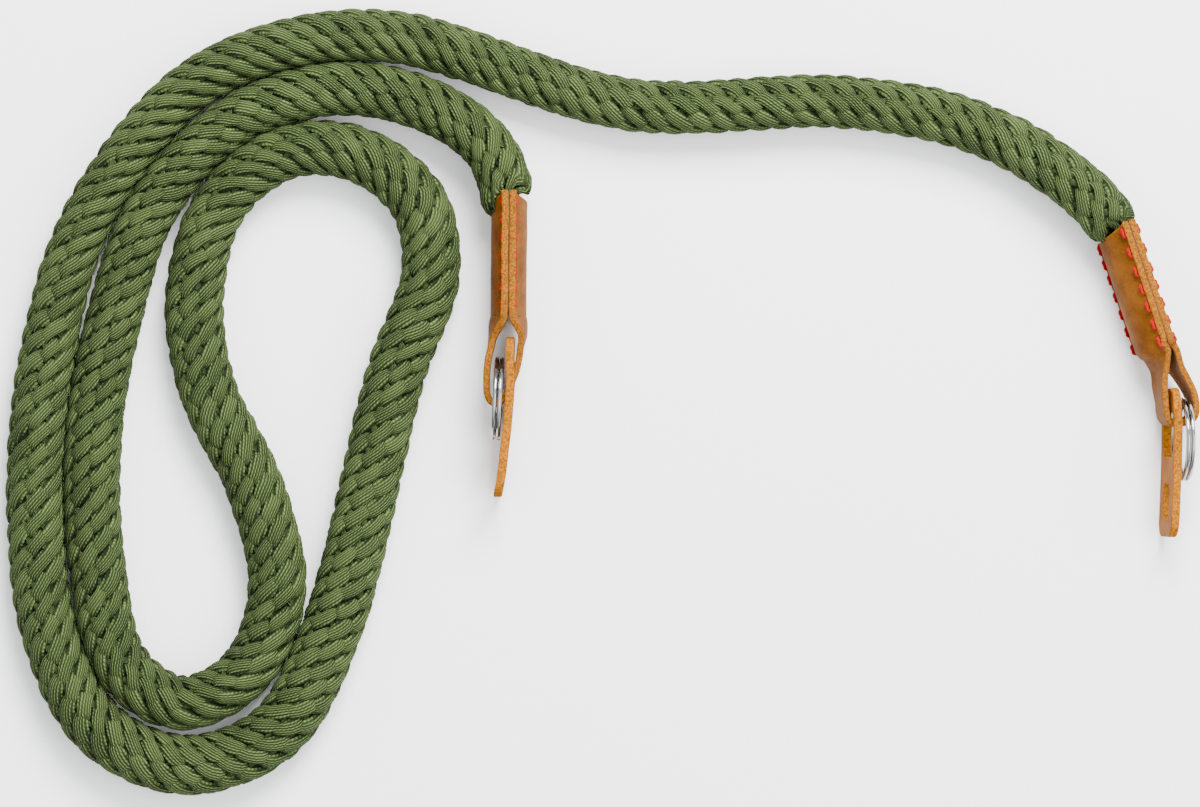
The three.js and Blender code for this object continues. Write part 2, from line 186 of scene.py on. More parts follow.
class Value:
    """A shader socket that adds Math nodes when it is used in an expression."""

    def __init__(self, graph: "Graph", socket: Socket) -> None:
        """Keeps the graph and the socket."""
        self.graph = graph
        self.socket = socket

    def math(self, operation: str, *others: "Value | float", flipped: bool = False) -> "Value":
        """Adds one Math node, with this value as its last input when flipped."""
        order = [*others, self] if flipped else [self, *others]
        return self.graph.value("ShaderNodeMath", {"operation": operation}, dict(enumerate(order)))

    def __add__(self, other: "Value | float") -> "Value":
        """Sum."""
        return self.math("ADD", other)

    def __sub__(self, other: "Value | float") -> "Value":
        """Difference."""
        return self.math("SUBTRACT", other)

    def __rsub__(self, other: "Value | float") -> "Value":
        """Difference from a number."""
        return self.math("SUBTRACT", other, flipped=True)

    def __mul__(self, other: "Value | float") -> "Value":
        """Product."""
        return self.math("MULTIPLY", other)

    __radd__ = __add__
    __rmul__ = __mul__

    def wave(self) -> "Value":
        """Sine of this value, brought to 0 to 1."""
        return self.math("SINE") * 0.5 + 0.5

    def band(self, low: float, high: float) -> "Value":
        """Smooth step of this value from low to high."""
        inputs = {"Value": self, "From Min": low, "From Max": high}
        return self.graph.value("ShaderNodeMapRange", {"interpolation_type": "SMOOTHSTEP"}, inputs)


class Graph:
    """The node tree of a material or a world, with its one shader."""

    def __init__(self, owner: Material | bpy.types.World) -> None:
        """Turns the owner's nodes on and finds its shader.

        Args:
            owner: the material or the world.
        """
        owner.use_nodes = True
        self.owner = owner
        self.tree = owner.node_tree
        self.shader = next(n for n in self.tree.nodes if n.type in {"BSDF_PRINCIPLED", "BACKGROUND"})

    @classmethod
    def new(cls, name: str) -> "Graph":
        """Makes a material."""
        return cls(bpy.data.materials.new(name))

    def node(self, kind: str, settings: dict, inputs: dict) -> bpy.types.Node:
        """Adds any node.

        Args:
            kind: the node's type.
            settings: attributes of the node, set before its sockets.
            inputs: socket name or number to a value, a socket or a Value.

        Returns:
            The node.
        """
        node = self.tree.nodes.new(kind)
        for key, value in settings.items():
            setattr(node, key, value)
        for key, value in inputs.items():
            self.feed(node.inputs[key], value)
        return node

    def feed(self, socket: Socket, value: object) -> None:
        """Links or sets one input socket.

        Args:
            socket: the input.
            value: a Value, an output socket or a constant.
        """
        if isinstance(value, Value):
            value = value.socket
        if isinstance(value, Socket):
            self.tree.links.new(value, socket)
        else:
            socket.default_value = value

    def value(self, kind: str, settings: dict, inputs: dict, output: str | int = 0) -> Value:
        """Adds a node and wraps one of its outputs."""
        return Value(self, self.node(kind, settings, inputs).outputs[output])

    def place(self, stretch: Triple = (1.0, 1.0, 1.0)) -> Socket:
        """Coordinates on the piece in millimetres, times a factor for each axis."""
        inputs = {0: self.coords("Object"), 1: tuple(s / MM for s in stretch)}
        return self.node("ShaderNodeVectorMath", {"operation": "MULTIPLY"}, inputs).outputs[0]

    def coords(self, kind: str) -> Socket:
        """One of the texture coordinates, by its name."""
        return self.node("ShaderNodeTexCoord", {}, {}).outputs[kind]

    def noise(self, vector: Socket, size: float, detail: float = 3.0, rough: float = 0.55) -> Value:
        """Noise whose blobs are about size millimetres wide."""
        inputs = {"Vector": vector, "Scale": 1.0 / size, "Detail": detail, "Roughness": rough}
        return self.value("ShaderNodeTexNoise", {}, inputs)

    def painted(self, name: str) -> Value:
        """A number that the mesh carries for each vertex."""
        return self.value("ShaderNodeAttribute", {"attribute_name": name}, {}, "Fac")

    def blend(self, share: "Value | float", a: object, b: object) -> Socket:
        """Mixes two colours.

        Args:
            share: how much of b.
            a: the first colour or output.
            b: the second colour or output.

        Returns:
            A colour output.
        """
        node = self.node("ShaderNodeMix", {"data_type": "RGBA"}, {"Factor": share})
        sockets = [s for s in node.inputs if s.type == "RGBA"]
        self.feed(sockets[0], a)
        self.feed(sockets[1], b)
        return next(s for s in node.outputs if s.type == "RGBA")

    def bump(self, height: Value, depth: float, below: Socket | None = None) -> Socket:
        """Adds a bump.

        Args:
            height: the relief, from 0 to 1.
            depth: its depth in millimetres.
            below: a normal that it adds to.

        Returns:
            A normal output.
        """
        inputs = {"Height": height, "Distance": depth * MM, "Strength": 1.0}
        if below is not None:
            inputs["Normal"] = below
        return self.node("ShaderNodeBump", {}, inputs).outputs["Normal"]

    def finish(self, links: dict, constants: dict) -> Material | bpy.types.World:
        """Feeds the shader.

        Args:
            links: inputs that change over the surface.
            constants: inputs that are the same all over.

        Returns:
            The material or the world.
        """
        for key, value in {**constants, **links}.items():
            self.feed(self.shader.inputs[key], value)
        return self.owner


@dataclass(frozen=True)
class CottonFinish:
    """Cotton yarn of the braid, laid in fine parallel lines, its colour blended from a deep to a lit shade
    with painted highlights and painted shade.
    """

    name: str
    lit: Colour
    deep: Colour
    yarns: float = 6.5
    ply: float = 0.75
    wander: float = 2.4
    relief: float = 0.24
    fuzz: float = 0.1
    line_weight: float = 0.28
    ply_weight: float = 0.46
    fibre_weight: float = 0.5
    tone_weight: float = 0.14
    patch_weight: float = 0.3
    dimmed: float = 0.31
    side_groove_shade: float = 0.55
    tip_groove_shade: float = 0.5

    def material(self) -> Material:
        """Builds the material.

        Returns:
            A material that reads the strands' lateral, run, tip and tone values.
        """
        g = Graph.new(self.name)
        place = g.place()
        lateral, tip = g.painted("lateral"), g.painted("tip")
        # The yarn lines and ply specks are partly the yarns' own pattern and partly painted light: a painted
        # highlight along each yarn and its plies, and painted shade between the yarns.
        turn = lateral * (math.pi * self.yarns) + (g.noise(place, 1.6) - 0.5) * self.wander
        lines = turn.wave()
        plies = (g.painted("run") * (TURN / self.ply) + turn * 0.7).wave()
        fibre = g.noise(place, 0.22, 4.0, 0.7)
        patch = g.noise(place, 6.0, 2.0)
        # Painted shade: the floats' sides that border the next rib, and their tips, are darkened for the
        # notches between floats that lie in shade.
        between = (0.0 - lateral * tip).band(-0.2, 0.35)
        groove_shade = (lateral * lateral).band(0.35, 1.0) * between * self.side_groove_shade
        groove_shade = groove_shade + (tip * tip).band(0.55, 1.0) * self.tip_groove_shade
        light = lines * self.line_weight + lines * plies * self.ply_weight + fibre * self.fibre_weight
        light = light + g.painted("tone") * self.tone_weight + patch * self.patch_weight
        light = light - self.dimmed - groove_shade
        colour = g.blend(light.band(0.0, 1.0), rgba(self.deep), rgba(self.lit))
        normal = g.bump(lines, self.relief, g.bump(fibre * 0.6 + lines * plies * 0.4, self.fuzz))
        constants = {"Roughness": 0.95, "Specular IOR Level": 0.12}
        return g.finish({"Base Color": colour, "Normal": normal}, constants)


@dataclass(frozen=True)
class LeatherFinish:
    """Tan leather with a grain side, raw cut edges and a pale flesh side."""

    name: str
    grain: Colour
    dark: Colour
    edge: Colour
    flesh: Colour
    gloss: float = 0.42
    edge_dark: float = 0.36
    flesh_dark: float = 0.72
    pores: float = 2.6
    pore_depth: float = 0.045
    relief: float = 0.1

    def material(self) -> Material:
        """Builds the material.

        Returns:
            A material that reads the mesh's edge and flesh values.
        """
        g = Graph.new(self.name)
        place = g.place()
        cut, back = g.painted("edge"), g.painted("flesh")
        cloud = g.noise(place, 4.5, 4.0, 0.6)
        speck = g.noise(place, 0.5, 3.0, 0.7)
        fleck = g.noise(place, 0.3, 3.0, 0.75)
        fibre = g.noise(place, 0.6, 6.0, 0.85)
        pores = g.value("ShaderNodeTexVoronoi", {}, {"Vector": place, "Scale": self.pores}, "Distance")
        grain = g.blend((cloud * 0.7 + speck * 0.3).band(0.32, 0.68), rgba(self.dark), rgba(self.grain))
        flecks = (fleck * 0.7 + fibre * 0.3).band(0.42, 0.6)
        edge = g.blend(flecks, rgba(self.edge, self.edge_dark), rgba(self.edge))
        flesh = g.blend(fibre.band(0.25, 0.75), rgba(self.flesh, self.flesh_dark), rgba(self.flesh))
        colour = g.blend(cut, g.blend(back, grain, flesh), edge)
        rough = (cut + back).math("MINIMUM", 1.0) * 0.35 + (speck * 0.16 + self.gloss)
        relief = g.bump(fibre * 0.6 + speck * 0.4, self.relief)
        normal = g.bump(pores.band(0.0, 0.55), self.pore_depth, relief)
        links = {"Base Color": colour, "Roughness": rough, "Normal": normal}
        return g.finish(links, {"Specular IOR Level": 0.03})


@dataclass(frozen=True)
class ThreadFinish:
    """Waxed red sewing thread."""

    name: str
    lit: Colour
    deep: Colour

    def material(self) -> Material:
        """Builds the material.

        Returns:
            A material of fine fuzz.
        """
        g = Graph.new(self.name)
        fuzz = g.noise(g.place(), 0.16, 4.0, 0.7)
        links = {"Base Color": g.blend(fuzz.band(0.3, 0.7), rgba(self.deep), rgba(self.lit))}
        links["Normal"] = g.bump(fuzz, 0.05)
        return g.finish(links, {"Roughness": 0.6, "Specular IOR Level": 0.05})


@dataclass(frozen=True)
class PlatedFinish:
    """Bright plated spring steel with faint handling marks."""

    name: str
    colour: Colour

    def material(self) -> Material:
        """Builds the material.

        Returns:
            A metal whose gloss changes with the marks.
        """
        g = Graph.new(self.name)
        marks = g.noise(g.place((1.0, 1.0, 4.0)), 0.9, 4.0, 0.7)
        links = {"Roughness": marks * 0.12 + 0.03, "Normal": g.bump(marks, 0.01)}
        return g.finish(links, {"Base Color": rgba(self.colour), "Metallic": 1.0})


@dataclass(frozen=True)
class FloorFinish:
    """Plain pale floor."""

    name: str
    colour: Colour

    def material(self) -> Material:
        """Builds the material."""
        plain = {"Base Color": rgba(self.colour), "Roughness": 0.95, "Specular IOR Level": 0.1}
        return Graph.new(self.name).finish({}, plain)


COTTON = CottonFinish("cotton_moss", lit=(0.118, 0.168, 0.052), deep=(0.007, 0.013, 0.0035))
# A much darker copy of the cotton: the core's colour is painted shade for the gaps between the floats.
CORE_SHADE = CottonFinish("cotton_core_shade", lit=(0.012, 0.02, 0.006), deep=(0.004, 0.008, 0.002))
TAN = LeatherFinish(
    "leather_tan", grain=(0.18, 0.06, 0.006), dark=(0.088, 0.027, 0.002), edge=(0.3, 0.103, 0.01),
    flesh=(0.34, 0.18, 0.09),
)
TAB = LeatherFinish(
    "leather_tab", grain=(0.26, 0.085, 0.008), dark=(0.16, 0.048, 0.004), edge=(0.4, 0.135, 0.007),
    flesh=(0.42, 0.25, 0.15), gloss=0.5,
)
THREAD = ThreadFinish("thread_red", lit=(0.36, 0.002, 0.003), deep=(0.2, 0.001, 0.002))
PLATED = PlatedFinish("plated_steel", (0.3, 0.3, 0.295))
FLOOR = FloorFinish("floor_pale", (0.97, 0.97, 0.97))


# Meshes


def add_object(name: str, data: bpy.types.ID) -> bpy.types.Object:
    """Adds an object to the scene.

    Args:
        name: its name.
        data: its mesh, curve, light or camera.

    Returns:
        The object.
    """
    item = bpy.data.objects.new(name, data)
    bpy.context.scene.collection.objects.link(item)
    return item


def make_piece(
    name: str, points: Array, faces: Array, material: Material, painted: dict[str, Array]
) -> Piece:
    """Makes a smooth mesh object from points in millimetres.

    Args:
        name: the piece's name.
        points: one row for each vertex.
        faces: one row of vertex numbers for each face, all turned one way.
        material: what it is made of.
        painted: values for each vertex that the material reads.

    Returns:
        The linked object.
    """
    mesh = bpy.data.meshes.new(name)
    mesh.from_pydata((points * MM).tolist(), [], faces.tolist())
    for key, values in painted.items():
        layer = mesh.attributes.new(key, "FLOAT", "POINT")
        layer.data.foreach_set("value", np.asarray(values, dtype=np.float32))
    mesh.shade_smooth()
    mesh.materials.append(material)
    mesh.update()
    return add_object(name, mesh)


def loft_faces(rings: int, count: int, mirrored_caps: bool = False) -> Array:
    """Triangles of a body lofted through rings of points.

    Args:
        rings: number of rings.
        count: points in a ring.
        mirrored_caps: whether the caps join mirrored points, for thin slabs.

    Returns:
        One row of three vertex numbers for each triangle.
    """
    faces = []
    last = (rings - 1) * count
    for a in range(0, last, count):
        b = a + count
        for j in range(count):
            k = (j + 1) % count
            faces += [(a + j, a + k, b + k), (a + j, b + k, b + j)]
    for start, flip in ((0, True), (last, False)):
        if mirrored_caps:
            cap = []
            for p in range(start, start + count // 2 - 1):
                q = 2 * start + count - 1 - p
                cap += [(p, p + 1, q - 1), (p, q - 1, q)]
        else:
            cap = [(start, start + j + 1, start + j + 2) for j in range(count - 2)]
        faces += [face[::-1] if flip else face for face in cap]
    return np.array(faces)


def outward(points: Array, faces: Array) -> Array:
    """Turns the triangles of a closed body outward."""
    a, b, c = (points[faces[:, k]] - points.mean(axis=0) for k in range(3))
    return faces if np.einsum("ij,ij->", a, np.cross(b, c)) > 0 else faces[:, ::-1]


def declare(piece: Piece, node: str = "") -> Piece:
    """States what a piece rides on and stands for.

    Args:
        piece: the piece.
        node: the solid that it replaces, if any.

    Returns:
        The piece.
    """
    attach(piece, "root")
    if node:
        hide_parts(node)
    return piece


# The lines that the pieces follow


@dataclass(frozen=True)
class EndShape:
    """What differs between the two ends, in millimetres and degrees.

    A row of bends holds a share of the wrap's length, the heading and the roll there. Sag shifts the rope's
    left and right side along it at the mouth, and bulge widens its left side there, as the rope runs.
    """

    name: str
    mouth: Pair
    inner_side: int
    tab_rest: float
    loop_length: float
    outer_reach: float
    neck: tuple[Pair, ...]
    bends: tuple[Triple, ...]
    ring_hang: float
    ring_slack: float
    ring_tilt: float
    tab_length: float
    tab_drop: float
    bow: float
    stitch_pitch: float
    stitch_lift: float
    sag: Pair
    bulge: float


LEFT_END = EndShape(
    name="left", mouth=(-61.1, 30.9), inner_side=1, tab_rest=0.35, loop_length=15.8, outer_reach=3.9,
    neck=NECK_LEFT, bends=((0, -0.5, 0), (3, -0.5, 0)),
    ring_hang=-0.9, ring_slack=0.3, ring_tilt=2.6, tab_length=29.6, tab_drop=0.4, bow=2.1,
    stitch_pitch=3.05, stitch_lift=-0.3, sag=(-5.2, -2.8), bulge=0.24,
)
RIGHT_END = EndShape(
    name="right", mouth=(51.1, 24.6), inner_side=-1, tab_rest=-0.5, loop_length=14.6, outer_reach=4.5,
    neck=NECK_RIGHT,
    bends=((0, 18.4, 20), (0.94, 18.4, 20), (1.12, 15, 12), (1.3, 5, 7), (1.5, 0, 6.5), (3, -1, 6)),
    ring_hang=3.0, ring_slack=0.15, ring_tilt=0.5, tab_length=27.4, tab_drop=5.2, bow=-0.6,
    stitch_pitch=3.4, stitch_lift=0.04, sag=(2.6, 2.6), bulge=0.0,
)


class EndLine:
    """The line that one end's pieces hang along."""

    STEP = 0.25
    WRAPS_LONG = 3

    def __init__(self, shape: EndShape) -> None:
        """Walks the line from the wrap's mouth.

        Args:
            shape: the end's own values.
        """
        self.shape = shape
        points = [np.array(shape.mouth)]
        for k in range(math.ceil(self.WRAPS_LONG * WRAP_LENGTH / self.STEP)):
            heading = self.heading((k + 0.5) * self.STEP)
            points.append(points[-1] + self.STEP * np.array([math.sin(heading), -math.cos(heading)]))
        self.points = np.array(points)

    def bend(self, along: float, column: int) -> float:
        """Looks one column of the bends up, in radians."""
        table = np.array(self.shape.bends)
        return math.radians(float(np.interp(along / WRAP_LENGTH, table[:, 0], table[:, column])))

    def heading(self, along: float) -> float:
        """Direction of the line, from -Y towards +X."""
        return self.bend(along, 1)

    def roll(self, along: float) -> float:
        """Lean of the pieces' upper edges to the outer side."""
        return self.bend(along, 2)

    def standing(self, along: float, width: float, thickness: float, aside: float = 0.0) -> float:
        """Height of the line where a rolled slab, aside to the inner side, stands on the surface."""
        roll = self.roll(along)
        return width / 2 * math.cos(roll) + (thickness / 2 - aside) * math.sin(roll) + STAND_GAP

    def axes(self, along: float) -> tuple[Array, Array, Array]:
        """Directions at a length.

        Args:
            along: length along the line.

        Returns:
            Down to the ring, inward to the inner side, and across the width.
        """
        heading, roll = self.heading(along), self.roll(along)
        level = self.shape.inner_side * np.array([math.cos(heading), math.sin(heading), 0.0])
        down = np.array([math.sin(heading), -math.cos(heading), 0.0])
        inward = level * math.cos(roll) + UP * math.sin(roll)
        return down, inward, UP * math.cos(roll) - level * math.sin(roll)

    def point(self, along: float, height: float) -> Array:
        """A point of the line.

        Args:
            along: length along the line, below zero before the mouth.
            height: height above the surface.

        Returns:
            The point.
        """
        index = min(max(along / self.STEP, 0.0), len(self.points) - 1.001)
        k = int(index)
        plan = mix(self.points[k], self.points[k + 1], index - k)
        if along < 0:
            plan = plan + self.axes(along)[0][:2] * along
        return np.array([plan[0], plan[1], height])

    def place(self, along: float, aside: float, across: float, stand: tuple[float, ...]) -> Array:
        """A point of a slab that stands on the surface, with stand as the last arguments of standing."""
        _, inward, over = self.axes(along)
        return self.point(along, self.standing(along, *stand)) + inward * aside + over * across


class RopeLine:
    """The rope's centreline and its changing section."""

    PER_SEGMENT = 40
    LEAD = (1.0, 0.3, 0.0)
    SAG_FROM = 2.2
    SAG_BAND = 1.3
    SAG_REACH = 9.0
    BULGE_REACH = 10.0
    SINK_POWER = 0.3
    LEAST_RISE = 0.2

    def __init__(self, left: EndLine, right: EndLine) -> None:
        """Samples the line from inside the left wrap to inside the right one.

        Args:
            left: the left end's line.
            right: the right end's line.
        """
        knots = [left.point(share * ROPE_REACH, 0.0)[:2] for share in self.LEAD]
        knots += [np.array(row[:2]) for row in ROUTE]
        knots += [right.point(share * ROPE_REACH, 0.0)[:2] for share in self.LEAD[::-1]]
        shares = [1, 1, ROUTE[0][2], *(row[2] for row in ROUTE), ROUTE[-1][2], 1, 1]
        line = spline_points(np.array(knots), self.PER_SEGMENT)
        ahead = np.gradient(line, axis=0)
        self.line = line
        self.tangent = ahead / np.linalg.norm(ahead, axis=1)[:, None]
        self.along = np.concatenate([[0.0], np.cumsum(np.linalg.norm(np.diff(line, axis=0), axis=1))])
        self.total = float(self.along[-1])
        self.share = np.interp(np.arange(len(line)) / self.PER_SEGMENT, np.arange(len(shares)), shares)
        self.ends = (left, right)

    def at_end(self, s: Array, values: list[float]) -> Array:
        """Picks the left or right end's value, whichever end is nearer to each length."""
        return np.where(s < self.total / 2, values[0], values[1])

    def points(self, s: Array, theta: Array, sink: Array) -> Array:
        """Points on or under the rope's surface.

        Args:
            s: lengths from the rope's left end.
            theta: angles round the rope, from the side towards the top.
            sink: depths below the surface.

        Returns:
            One row for each point.
        """
        centre, tangent = (
            np.stack([np.interp(s, self.along, table[:, k]) for k in (0, 1)], axis=-1)
            for table in (self.line, self.tangent)
        )
        share = np.interp(s, self.along, self.share)
        outside = np.minimum(s, self.total - s) - ROPE_REACH
        full = ease_out((outside - SWELL_FROM) / ROPE_SWELL)
        level = smooth(outside / ROPE_RISE)
        roll = -self.at_end(s, [end.roll(0) for end in self.ends]) * (1 - level)
        stands = self.at_end(s, [end.standing(0, *WRAP_STAND) for end in self.ends])
        height = mix(stands, ROPE_HEIGHT / 2, level)
        x, y = np.cos(theta), np.sin(theta)
        thin = SEAM_GAP / 2 + SWELL * pocket_shape(PRESSED_WIDTH / 2 * y) - FIT
        bulge = np.where(x > 0, self.at_end(s, [end.shape.bulge for end in self.ends]), 0.0)
        bulge = bulge * smooth(1 - outside / self.BULGE_REACH)
        wide = ROPE_WIDTH * share / 2 * np.abs(x) * (1 + bulge)
        half = np.maximum(mix(thin, wide, full) - sink * np.abs(x) ** self.SINK_POWER, 0.0) * np.sign(x)
        tall = mix(PRESSED_WIDTH / 2, ROPE_HEIGHT / 2, full)
        rise = np.maximum(tall - sink, self.LEAST_RISE) * y
        side = np.stack([-tangent[..., 1], tangent[..., 0]], axis=-1)
        sags = [self.at_end(s, [end.shape.sag[k] for end in self.ends]) for k in (0, 1)]
        sag = np.where(half > 0, *sags) * smooth((np.abs(half) - self.SAG_FROM) / self.SAG_BAND)
        sag = sag * smooth(1 - outside / self.SAG_REACH)
        flat = centre + side * (half * np.cos(roll) - rise * np.sin(roll))[..., None]
        flat = flat + tangent * sag[..., None]
        height = height + half * np.sin(roll) + rise * np.cos(roll)
        return np.concatenate([flat, height[..., None]], axis=-1)


# The rope


@dataclass(frozen=True)
class StrandForm:
    """One kind of float of the braid, in millimetres and degrees."""

    half_length: float
    half_width: float
    half_thick: float
    dive: float
    sink: float
    angle: float
    stations: int
    upper: int
    lower: int


FLOATS = StrandForm(
    half_length=3.85, half_width=1.4, half_thick=0.98, dive=1.4, sink=-0.2, angle=38.0,
    stations=10, upper=9, lower=2,
)
TUCKS = StrandForm(
    half_length=1.5, half_width=0.8, half_thick=0.5, dive=0.5, sink=0.62, angle=-48.0,
    stations=5, upper=5, lower=1,
)


@dataclass
class BraidedRope:
    """The braided rope: a core, dark with painted shade, under rows of slanting floats.

    Uneven holds how much the floats vary in length, width, depth, angle and place. Each drift is a slow wave
    of their places round the rope: its size, its length and its start.
    """

    line: RopeLine
    around: int = 8
    period: float = 4.0
    rows_per_turn: int = 6
    core_sink: float = 1.15
    core_sides: int = 20
    core_step: float = 2.0
    path_step: float = 4.0
    hidden: float = 2.5
    wrap_depth: float = 0.4
    tuck_phase: Pair = (0.875, 0.5)
    blunt: float = 5.0
    tip_size: float = 0.15
    thin_end: float = 0.25
    square: float = 0.8
    dive_power: float = 4.5
    arch: float = 0.15
    twist: float = 0.42
    turning: float = 5.0
    uneven: tuple[float, ...] = (0.06, 0.07, 0.05, 3.0, 0.1)
    drifts: tuple[Triple, ...] = ((0.35, 61.0, 0.0), (0.2, 23.0, 1.0))
    seed: int = 7

    def span(self) -> Pair:
        """Lengths where the seen rope starts and stops, a little inside the wraps."""
        return ROPE_REACH - self.hidden, self.line.total - ROPE_REACH + self.hidden

    def centres(self, phase: Pair) -> tuple[Array, Array]:
        """Places of the floats.

        Args:
            phase: shift along in periods and shift round in floats.

        Returns:
            Lengths along the rope and angles round it.
        """
        start, stop = self.span()
        rows = []
        for j in range(self.around):
            first = (phase[0] + j * self.rows_per_turn / self.around) * self.period
            lengths = np.arange(first % self.period, self.line.total, self.period)
            turn = (j + phase[1]) * TURN / self.around
            rows.append(np.stack([lengths, np.full(len(lengths), turn)], axis=-1))
        table = np.vstack(rows)
        table = table[(table[:, 0] > start) & (table[:, 0] < stop)]
        return table[:, 0], table[:, 1]

    def strands(
        self, form: StrandForm, s0: Array, theta0: Array, rng: np.random.Generator
    ) -> tuple[Array, Array, dict[str, Array]]:
        """Shapes all floats of one kind.

        Args:
            form: the kind.
            s0: their lengths along the rope.
            theta0: their angles.
            rng: seeded random numbers.

        Returns:
            Points, faces and the values that the material reads.
        """
        count = len(s0)
        u = np.sin(np.linspace(-1, 1, form.stations) * math.pi / 2)[None, :, None]
        top = np.linspace(0, math.pi, form.upper)
        low = np.linspace(math.pi, TURN, form.lower + 2)[1:-1]
        psi = np.concatenate([top, low])[None, None, :]
        draws = (spread * rng.normal(0, 1, count)[:, None, None] for spread in self.uneven)
        longer, wider, deeper, turned, moved = draws
        taper = mix(self.tip_size, 1.0, np.sqrt(np.clip(1 - np.abs(u) ** self.blunt, 0.0, 1.0)))
        lateral = np.sign(np.cos(psi)) * np.abs(np.cos(psi)) ** self.square
        x = form.half_length * (1 + longer) * u + 0.0 * psi
        across = form.half_width * (1 + wider) * taper * lateral + moved
        thick = form.half_thick * mix(self.thin_end, 1.0, taper)
        depth = form.sink + form.half_thick + form.dive * np.abs(u) ** self.dive_power + self.arch * u**2
        depth = depth + deeper - self.twist * lateral * u - thick * np.sin(psi)
        angle = np.radians(form.angle + turned + self.turning * u)
        drift = sum(size * np.sin(s0 / length + start) for size, length, start in self.drifts)
        s = s0[:, None, None] + x * np.cos(angle) - across * np.sin(angle)
        aside = (x * np.sin(angle) + across * np.cos(angle)) / (ROPE_WIDTH / 2 - self.wrap_depth)
        theta = (theta0 + drift)[:, None, None] + aside
        points = self.line.points(s.ravel(), theta.ravel(), np.broadcast_to(depth, s.shape).ravel())
        ring = form.upper + form.lower
        size = form.stations * ring
        pattern = outward(points[:size], loft_faces(form.stations, ring))
        faces = (pattern[None] + (np.arange(count) * size)[:, None, None]).reshape(-1, 3)
        shapes = {"lateral": lateral, "run": x, "tip": u}
        painted = {key: np.broadcast_to(values, s.shape).ravel() for key, values in shapes.items()}
        painted["tone"] = np.repeat(rng.uniform(0.0, 1.0, count), size)
        return points, faces, painted

    def core(self, shade: Material) -> Piece:
        """Builds the core, whose dark colour is painted shade seen between the floats.

        Args:
            shade: its material.

        Returns:
            The piece.
        """
        lengths = np.arange(*self.span(), self.core_step)
        turns = np.arange(self.core_sides) / self.core_sides * TURN
        s, theta = (a.ravel() for a in np.meshgrid(lengths, turns, indexing="ij"))
        points = self.line.points(s, theta, np.full(len(s), self.core_sink))
        faces = outward(points, loft_faces(len(lengths), self.core_sides))
        blank = dict.fromkeys(("lateral", "run", "tip", "tone"), np.zeros(len(points)))
        return make_piece("rope_core", points, faces, shade, blank)

    def build(self, cotton: Material, shade: Material) -> list[Piece]:
        """Args:
            cotton: the strands' material.
            shade: the core's material.

        Returns:
            The pieces.
        """
        core = self.core(shade)
        rng = np.random.default_rng(self.seed)
        half = self.line.total / 2
        strands = []
        for name, form, low, high, phase in (
            ("rope_strands_1", FLOATS, 0.0, half, (0.0, 0.0)),
            ("rope_strands_2", FLOATS, half, self.line.total, (0.0, 0.0)),
            ("rope_tucks", TUCKS, 0.0, self.line.total, self.tuck_phase),
        ):
            s0, theta0 = self.centres(phase)
            keep = (s0 >= low) & (s0 < high)
            points, faces, painted = self.strands(form, s0[keep], theta0[keep], rng)
            strands.append(make_piece(name, points, faces, cotton, painted))
        path = self.path()
        return [declare(core, "rope"), *(declare(piece) for piece in strands)]

    def path(self) -> list[Triple]:
        """The core's centreline.

        Returns:
            Points in metres, about one path step apart.
        """
        start, stop = self.span()
        stop = float(np.arange(start, stop, self.core_step)[-1])
        s = np.linspace(start, stop, int((stop - start) / self.path_step) + 1)
        up, down = (self.line.points(s, np.full(len(s), a), np.zeros(len(s))) for a in (TURN / 4, -TURN / 4))
        return [tuple(float(v) for v in row) for row in (up + down) / 2 * MM]


# The leather and metal ends


@dataclass(frozen=True)
class Stitch:
    """Rows of stitches of two twisted plies and the dents that they pull, in millimetres."""

    across: float = 6.2
    first: float = 1.5
    count: int = 7
    share: float = 0.74
    radius: float = 0.3
    thinning: float = 0.25
    ply_offset: float = 0.13
    twist: float = 2.6
    slant: float = 0.14
    dive: float = 0.8
    arch: float = 0.1
    stations: int = 15
    sides: int = 8
    row_width: float = 0.6
    row_depth: float = 0.2
    hole_width: float = 0.35
    hole_depth: float = 0.24
    row_fade: float = 0.8


